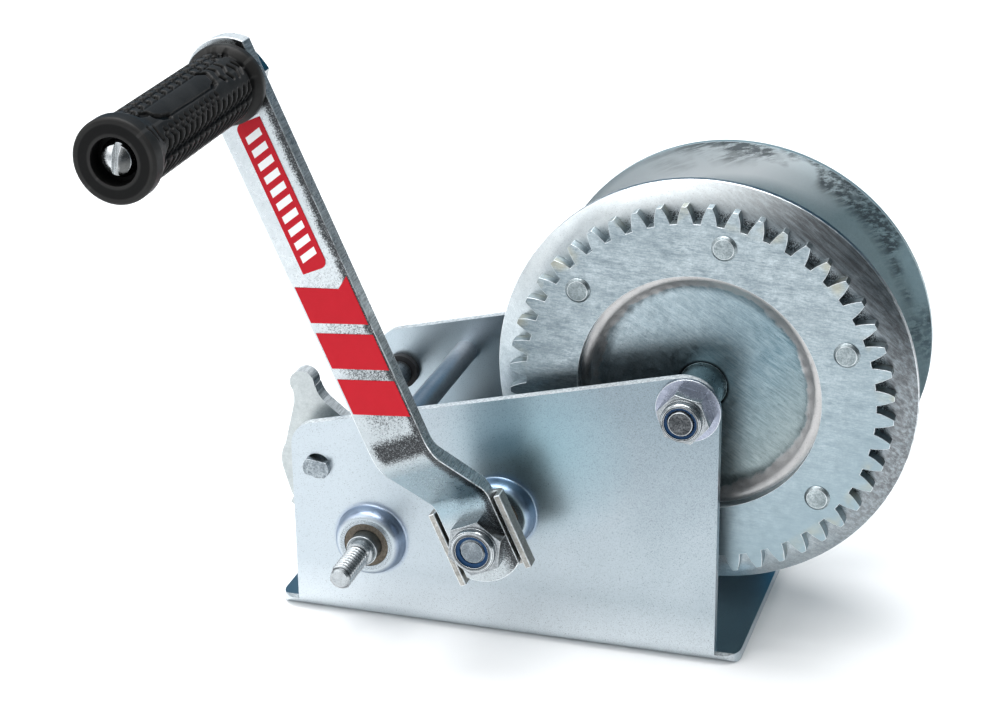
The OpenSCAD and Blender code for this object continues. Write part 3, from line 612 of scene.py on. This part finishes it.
def settle(obj, edge, sharp):
    """Rounds the sharp edges by edge mm, marks them for wear and a painted highlight, and sets clean shading
    normals.

    Bevelled faces are told apart by a second material slot, which is there only while they are marked.
    """
    if edge:
        bevel = obj.modifiers.new("edge", "BEVEL")
        bevel.width = edge * MM
        bevel.segments = 2
        bevel.limit_method = "ANGLE"
        bevel.angle_limit = math.radians(30)
        bevel.material = 1
        obj.data.materials.append(obj.data.materials[0])
        applied(obj)
        bevel_scuff_and_sheen = obj.data.attributes.new("bevel_scuff_and_sheen", "FLOAT", "FACE")
        for face in obj.data.polygons:
            bevel_scuff_and_sheen.data[face.index].value = float(face.material_index == 1)
            face.material_index = 0
        obj.data.materials.pop(index=1)
    obj.data.shade_smooth()
    for face in obj.data.polygons:
        face.use_smooth = face.area < FLAT_AREA
    obj.data.set_sharp_from_angle(angle=math.radians(sharp))
    normals = obj.modifiers.new("normals", "WEIGHTED_NORMAL")
    normals.keep_sharp = True
    normals.weight = 100
    applied(obj)


def piece(name, bm, node, material=None, edge=0.0, sharp=38):
    """A finished piece that stands for a CAD node and rides on its body."""
    mesh = bpy.data.meshes.new(name)
    bm.to_mesh(mesh)
    bm.free()
    mesh.materials.clear()
    mesh.materials.append(FINISH[material or SLOT[node]])
    obj = bpy.data.objects.new(name, mesh)
    bpy.context.scene.collection.objects.link(obj)
    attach(obj, NODES[node]["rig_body"])
    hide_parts(node)
    settle(obj, edge, sharp)


def copied(node):
    """The CAD node's own shape, welded and with flat faces merged."""
    bm = bmesh.new()
    bm.from_mesh(NODES[node].data)
    bmesh.ops.remove_doubles(bm, verts=bm.verts, dist=0.002 * MM)
    bmesh.ops.dissolve_limit(bm, angle_limit=math.radians(0.6), verts=bm.verts, edges=bm.edges)
    for face in bm.faces:
        face.material_index = 0
    return bm


def join_rings(bm, rings):
    """Four-sided faces between each ring of points and the next."""
    for low, high in zip(rings, rings[1:]):
        count = len(low)
        for i in range(count):
            j = (i + 1) % count
            bm.faces.new((low[i], low[j], high[j], high[i]))


def turned(axis, stations, around):
    """A solid about an axis parallel to Y, closed at both ends.

    Each station is a function of the angle that gives (radius, y) in mm.
    """
    bm = bmesh.new()
    rings = []
    for station in stations:
        ring = []
        for i in range(around):
            angle = 2 * math.pi * i / around
            r, y = station(angle)
            x = axis.x + r * MM * math.cos(angle)
            z = axis.z + r * MM * math.sin(angle)
            ring.append(bm.verts.new((x, y * MM, z)))
        rings.append(ring)
    join_rings(bm, rings)
    bm.faces.new(rings[0])
    bm.faces.new(rings[-1])
    bmesh.ops.recalc_face_normals(bm, faces=bm.faces)
    return bm


# ---------- grip ----------
def tread_lines():
    """Grooves on one half of the grip as (points, half width, depth).

    A point is its angle round the grip in degrees and its distance from the free end.
    """
    lines = [
        # frame of the plain panel with its stepped ends
        ([(72, 13.5), (66, 15.5), (56, 16.0), (48, 19.0), (44, 23.0)], 0.85, 1.1),
        ([(44, 23.0), (42, 57.0)], 0.36, 0.6),
        ([(76, 57.0), (67, 60.5), (57, 59.5), (46, 59.0), (43, 56.0)], 0.80, 1.1),
        ([(74, 64.0), (62, 65.5), (52, 64.0), (41, 65.5)], 0.62, 1.0),
        ([(71, 70.0), (60, 71.0), (50, 69.0), (37, 70.5)], 0.62, 1.0),
        # slashes and hooks at the ends
        ([(57, 74.0), (45, 75.5), (34, 74.5)], 0.55, 0.9),
        ([(58, 77.5), (46, 79.0), (36, 77.5)], 0.55, 0.9),
        ([(57, 81.0), (44, 82.0)], 0.55, 0.9),
        ([(90, 75.0), (80, 77.0), (76, 80.5), (80, 82.5)], 0.85, 1.1),
        ([(92, 8.0), (80, 8.5), (70, 10.5), (66, 14.0)], 0.85, 1.1),
        ([(46, 5.5), (36, 6.0), (27, 7.0)], 0.50, 0.7),
        ([(42, 10.5), (32, 10.5), (20, 12.0)], 0.60, 0.8),
    ]
    for k in range(11):
        at = 15.5 + DOT_PITCH * k
        lines.append(([(33, at), (29, at + 0.7)], 0.55, 0.8))
        lines.append(([(25, at - 0.9), (21, at - 0.2)], 0.55, 0.8))
    for k in range(17):
        at = 8.5 + RIB_PITCH * k
        lines.append(([(16, at + 7.2), (6, at + 6.0), (-2, at + 3.4), (-8, at)], 0.78, TREAD_DEPTH))
        lines.append(([(-15, at + 5.0), (-24, at + 3.2), (-36, at)], 0.80, TREAD_DEPTH))
    for k in range(13):
        at = 11.0 + LINK_PITCH * k
        lines.append(([(79, at), (83, at + 1.6), (87, at), (91, at + 1.8)], 0.62, TREAD_DEPTH))
        lines.append(([(95, at + 2.8), (100, at + 4.6), (105, at + 2.8), (110, at + 4.6)], 0.62, TREAD_DEPTH))
        lines.append(([(116, at), (122, at + 2.2), (130, at)], 0.62, TREAD_DEPTH))
    lines.append(([(75, 15.0), (75.5, 74.0)], 0.22, 0.35))
    lines.append(([(93, 11.0), (93, 80.0)], 0.42, 0.8))
    lines.append(([(113, 9.0), (113, 81.0)], 0.42, 0.8))
    return lines


def tread(angles, reach):
    """Depth of the grooves over a grid of angles and distances from the free end.

    Both halves of the grip have the same grooves, and s is the distance round the half.
    """
    wall = 0.45
    angle, t = np.meshgrid(angles, reach)
    arc = BODY_R * np.radians(1.0)
    s = ((angle + 45) % 180 - 45) * arc
    depth = np.zeros_like(s)
    for points, half, deep in tread_lines():
        a = np.array([(p[0] * arc, p[1]) for p in points])
        low, high = a.min(axis=0) - 2, a.max(axis=0) + 2
        near = (s > low[0]) & (s < high[0]) & (t > low[1]) & (t < high[1])
        ps, pt = s[near], t[near]
        gap = np.full(ps.shape, 9.0)
        for (s0, t0), (s1, t1) in zip(a, a[1:]):
            ds, dt = s1 - s0, t1 - t0
            k = np.clip(((ps - s0) * ds + (pt - t0) * dt) / (ds * ds + dt * dt), 0, 1)
            gap = np.minimum(gap, np.hypot(ps - s0 - k * ds, pt - t0 - k * dt))
        cut = deep * np.clip((half + 0.30 - gap) / wall, 0, 1)
        depth[near] = np.maximum(depth[near], cut)
    return depth


def grip():
    """Moulded rubber grip: collars at both ends, a cut tread between them, a stepped bore for the bolt."""
    around = 300
    end = GRIP_LENGTH
    outline = [(0.0, COLLAR_R - 1.0), (0.15, COLLAR_R - 0.55), (0.6, COLLAR_R - 0.1), (1.2, COLLAR_R),
               (5.6, COLLAR_R), (7.4, COLLAR_R - 0.55), (9.8, BODY_R + 0.25), (12.0, BODY_R),
               (end - 9.0, BODY_R), (end - 7.4, NECK_R), (end - 6.2, NECK_R), (end - 4.6, COLLAR_R - 0.7),
               (end - 3.6, COLLAR_R), (end - 1.0, COLLAR_R), (end, COLLAR_R - 0.9)]
    reach = np.concatenate([[0, 0.05, 0.15, 0.35, 0.6, 1.2, 3.0, 4.4], np.arange(5.0, end - 5.0, 0.33),
                            end - np.array([4.6, 4.1, 3.6, 2.4, 1.0, 0.5, 0.2, 0.0])])
    radius = np.interp(reach, [p[0] for p in outline], [p[1] for p in outline])
    angles = np.arange(around) * 360.0 / around
    r = radius[:, None] - tread(angles, reach)
    bore = [(end, BOLT_BORE_R), (HEAD_BORE_DEPTH, BOLT_BORE_R), (HEAD_BORE_DEPTH, HEAD_BORE_R),
            (0.35, HEAD_BORE_R), (0.1, HEAD_BORE_R + 0.1), (0.0, HEAD_BORE_R + 0.3)]
    stations = [(t, r[i]) for i, t in enumerate(reach)] + [(t, np.full(around, value)) for t, value in bore]
    turn = np.radians(angles)
    bm = bmesh.new()
    rings = []
    for t, ring in stations:
        x = GRIP.x + ring * np.cos(turn) * MM
        z = GRIP.z + ring * np.sin(turn) * MM
        rings.append([bm.verts.new((x[i], (GRIP_END + t) * MM, z[i])) for i in range(around)])
    join_rings(bm, rings + rings[:1])
    bmesh.ops.recalc_face_normals(bm, faces=bm.faces)
    piece("grip_rubber_sleeve", bm, "grip", sharp=50)


# ---------- lower input shaft's thread ----------
def flats(r, angle):
    """The radius r at an angle in radians, cut back where the stub's two flats are."""
    across = abs(math.cos(angle) * FLAT_NORMAL.x + math.sin(angle) * FLAT_NORMAL.z)
    return min(r, FLAT_HALF / across) if across > 0.01 else r


def input_thread():
    """The lower shaft: its turned part from the CAD, then a shouldered stub with ridges for the thread.

    The ridges are rings, not a helix.
    """
    bm = copied("shaft_b")
    bmesh.ops.bisect_plane(bm, geom=bm.verts[:] + bm.edges[:] + bm.faces[:],
                           plane_co=(0, (JOURNAL_END + 0.05) * MM, 0), plane_no=(0, -1, 0), clear_outer=True)
    bmesh.ops.holes_fill(bm, edges=[e for e in bm.edges if e.is_boundary])
    piece("lower_shaft_turned", bm, "shaft_b", edge=EDGE)
    # radius, y, and whether the two flats cut it
    rings = [(CENTRE_R, STUB_END, True), (THREAD_ROOT - 0.9, STUB_END, True),
             (THREAD_ROOT - 0.1, STUB_END + 0.7, True)]
    y = STUB_END + 1.0
    while y < THREAD_START - 0.9:
        rings += [(THREAD_ROOT, y, True), (THREAD_R - 0.1, y + 0.55, True), (THREAD_R, y + 0.75, True),
                  (THREAD_R - 0.1, y + 0.95, True)]
        y += THREAD_PITCH
    rings += [(THREAD_ROOT, THREAD_START, True), (SHOULDER_R, THREAD_START + 0.5, True),
              (SHOULDER_R, JOURNAL_END - 2.2, True), (SHOULDER_R, JOURNAL_END - 2.0, False),
              (SHOULDER_R, JOURNAL_END, False), (CENTRE_R, JOURNAL_END, False)]
    stations = [lambda a, r=r, y=y, cut=cut: (flats(r, a) if cut else r, y) for r, y, cut in rings]
    piece("lower_shaft_thread", turned(LOWER, stations, 96), "shaft_b", material="zinc_thread", sharp=28)


# ---------- crank label ----------
def on_arm(u, n, y):
    """A point on the crank arm: u mm along it from the shaft, n mm across it to the right, y in metres."""
    c, s = math.cos(math.radians(CRANK_ANGLE)), math.sin(math.radians(CRANK_ANGLE))
    return (UPPER.x + (u * c + n * s) * MM, y, UPPER.z + (u * s - n * c) * MM)


def plate_on_arm(outline, low, high):
    """A thin plate on the crank arm between two values of y; its outline is (u, n) as in on_arm."""
    bm = bmesh.new()
    front = [bm.verts.new(on_arm(u, n, low)) for u, n in outline]
    back = [bm.verts.new(on_arm(u, n, high)) for u, n in outline]
    bm.faces.new(front)
    bm.faces.new(back)
    join_rings(bm, [front, back])
    bmesh.ops.recalc_face_normals(bm, faces=bm.faces)
    return bm


def rounded_corner(points, index, radius):
    """The points of one rounded corner of an outline."""
    steps = 6
    corner = Vector(points[index])
    before = (Vector(points[index - 1]) - corner).normalized()
    after = (Vector(points[(index + 1) % len(points)]) - corner).normalized()
    centre = corner + (before + after) * radius
    out = []
    for k in range(steps + 1):
        t = math.radians(90 * k / steps)
        p = centre - after * radius * math.cos(t) - before * radius * math.sin(t)
        out.append((p.x, p.y))
    return out


# the label, as distances along the arm (start, end) and across it (left, right)
LABEL_START, LABEL_END = 120.5, 176.5
LABEL_LEFT, LABEL_RIGHT = -4.8, 5.2
LABEL_CORNER_R = 2.6
BARS = 10
BAR_START = 124.2
BAR_PITCH = 4.95
BAR_WIDTH = 2.6
BAR_SLANT = 1.8
BAR_LEFT, BAR_RIGHT = -3.0, 3.4


def label_film():
    """The red film, with two opposite corners rounded."""
    low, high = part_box("arm_label")
    square = [(LABEL_START, LABEL_LEFT), (LABEL_START, LABEL_RIGHT),
              (LABEL_END, LABEL_RIGHT), (LABEL_END, LABEL_LEFT)]
    outline = []
    for index, corner in enumerate(square):
        if index in (1, 3):
            outline += rounded_corner(square, index, LABEL_CORNER_R)
        else:
            outline.append(corner)
    piece("arm_label_film", plate_on_arm(outline, low[1], high[1]), "arm_label")


def label_bars():
    """A plain row of slanted white bars in place of the label's lettering."""
    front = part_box("arm_label")[0][1]
    bars = bmesh.new()
    for k in range(BARS):
        u = BAR_START + BAR_PITCH * k
        outline = [(u, BAR_LEFT), (u + BAR_WIDTH, BAR_LEFT),
                   (u + BAR_SLANT + BAR_WIDTH, BAR_RIGHT), (u + BAR_SLANT, BAR_RIGHT)]
        part = plate_on_arm(outline, front - 0.02 * MM, front + 0.05 * MM)
        mesh = bpy.data.meshes.new("bar")
        part.to_mesh(mesh)
        part.free()
        bars.from_mesh(mesh)
        bpy.data.meshes.remove(mesh)
    piece("arm_label_bars", bars, "arm_label", material="white_film")


# ---------- finished copies of the other nodes ----------
# edge rounding in mm, where it isn't EDGE
EDGE = 0.2
EDGES = {"frame": 0.6, "crank_arm": 0.7, "driver_bracket": 0.4, "flange_near": 0.3, "flange_far": 0.3,
         "pawl_front": 0.5, "pawl_back": 0.5, "drum_nut": 0.12, "crank_nut": 0.12, "ring_gear": 0.15,
         "drum_rivets": 0.1}
# finishes other than the one that the record's slot names
MATERIAL = {"frame": "zinc_frame", "flange_near": "zinc_flange", "flange_far": "zinc_far_shaded",
            "crank_arm": "zinc_arm", "pawl_front": "zinc_plate", "pawl_back": "zinc_plate",
            "driver_bracket": "zinc_ears", "drum_rivets": "rivet_head", "tie_rod": "zinc_rod",
            "drum_spacer": "zinc_spacer", "shaft_a": "zinc_bar", "drum_bolt": "bolt_end",
            "grip_bolt": "bolt_head", "bolt_washers": "zinc_washer"}
# nodes that have their own function above
OWN = {"grip", "shaft_b", "arm_label"}


grip()
input_thread()
label_film()
label_bars()
for node_name in NODES:
    if node_name not in OWN:
        piece(node_name + "_finished", copied(node_name), node_name, MATERIAL.get(node_name),
              EDGES.get(node_name, EDGE))


# ---------- floor, light, camera ----------
FLOOR_HALF = 6
SHADE_START, SHADE_END = 450, 1000  # in mm from the origin
FLOOR_PALE = (0.95, 0.95, 0.95)
FLOOR_SHADE = (0.42, 0.44, 0.46)


def floor():
    """A pale floor that shades to grey some way in front of the winch, for the metal to reflect.

    The grey is outside the camera's view. It shows in views from behind.
    """
    bm = bmesh.new()
    bmesh.ops.create_grid(bm, x_segments=2, y_segments=2, size=FLOOR_HALF)
    mesh = bpy.data.meshes.new("floor")
    bm.to_mesh(mesh)
    bm.free()
    obj = bpy.data.objects.new("floor", mesh)
    bpy.context.scene.collection.objects.link(obj)
    s = Shader("floor_paper", FLOOR_PALE, 0.0, 0.9)
    ahead = s.ramp(s.along(ORIGIN, (0.25, -0.97, 0)), SHADE_START, SHADE_END)
    s.put("Base Color", s.mix(ahead, FLOOR_PALE, FLOOR_SHADE))
    s.surface.inputs["Specular IOR Level"].default_value = 0.1
    mesh.materials.append(s.material)


SKY_BASE = (0.17, 0.20, 0.22)
# direction towards, cosine where it starts, cosine where it is full, colour
SKY = [
    ((-0.55, -0.45, 0.75), 0.35, 0.92, (1.40, 1.43, 1.45)),
    ((1.0, 0.25, 0.30), 0.35, 0.85, (0.08, 0.10, 0.11)),
    ((-0.25, 0.90, 0.40), 0.55, 0.88, (0.020, 0.120, 0.210)),
]


def world():
    """A studio by direction: bright above on the left, dark on the right, dark blue behind the winch."""
    made = bpy.data.worlds.new("studio")
    bpy.context.scene.world = made
    made.use_nodes = True
    tree = made.node_tree
    background = tree.nodes["Background"]
    where = tree.nodes.new("ShaderNodeTexCoord").outputs["Generated"]
    colour = None
    for direction, start, full, tint in SKY:
        dot = tree.nodes.new("ShaderNodeVectorMath")
        dot.operation = "DOT_PRODUCT"
        dot.inputs[1].default_value = Vector(direction).normalized()
        tree.links.new(where, dot.inputs[0])
        fade = tree.nodes.new("ShaderNodeMapRange")
        fade.interpolation_type = "SMOOTHSTEP"
        fade.inputs["From Min"].default_value = start
        fade.inputs["From Max"].default_value = full
        tree.links.new(dot.outputs["Value"], fade.inputs["Value"])
        mix = tree.nodes.new("ShaderNodeMix")
        mix.data_type = "RGBA"
        tree.links.new(fade.outputs["Result"], mix.inputs[MIX_FACTOR])
        if colour is None:
            mix.inputs[MIX_A].default_value = (*SKY_BASE, 1)
        else:
            tree.links.new(colour, mix.inputs[MIX_A])
        mix.inputs[MIX_B].default_value = (*tint, 1)
        colour = mix.outputs[MIX_RESULT]
    tree.links.new(colour, background.inputs["Color"])
    background.inputs["Strength"].default_value = 1.0


def softbox(name, place, target, size, power):
    """A soft light of size metres and power watts, turned towards a target."""
    light = bpy.data.lights.new(name, "AREA")
    light.shape = "RECTANGLE"
    light.size, light.size_y = size
    light.energy = power
    obj = bpy.data.objects.new(name, light)
    obj.location = place
    obj.rotation_euler = (Vector(target) - Vector(place)).to_track_quat("-Z", "Y").to_euler()
    bpy.context.scene.collection.objects.link(obj)


# fitted to points seen in the photograph: degrees, then metres, then the lens in mm
AZIMUTH = 17.49
ELEVATION = 22.62
ROLL = -0.81
EYE = (0.2490, -0.8383, 0.4580)
LENS = 88.7


def camera():
    """The camera, looking at the winch as the photograph does."""
    data = bpy.data.cameras.new("camera")
    data.sensor_width = 36
    data.lens = LENS
    data.clip_start = 0.01
    obj = bpy.data.objects.new("camera", data)
    az = math.radians(AZIMUTH)
    el = math.radians(ELEVATION)
    back = Vector((math.sin(az) * math.cos(el), -math.cos(az) * math.cos(el), math.sin(el)))
    right = Vector((math.cos(az), math.sin(az), 0))
    up = back.cross(right)
    turn = Matrix((right, up, back)).transposed().to_4x4()
    obj.matrix_world = Matrix.Translation(EYE) @ turn @ Matrix.Rotation(math.radians(ROLL), 4, "Z")
    bpy.context.scene.collection.objects.link(obj)
    bpy.context.scene.camera = obj


floor()
world()
softbox("top", (-0.2, 0.3, 2.5), (0, 0.2, 0.0), (2.2, 2.2), 78)
softbox("key", (-0.9, -0.8, 1.1), (0, -0.1, 0.05), (1.3, 1.3), 4)
camera()
bpy.context.scene.view_settings.view_transform = "Standard"
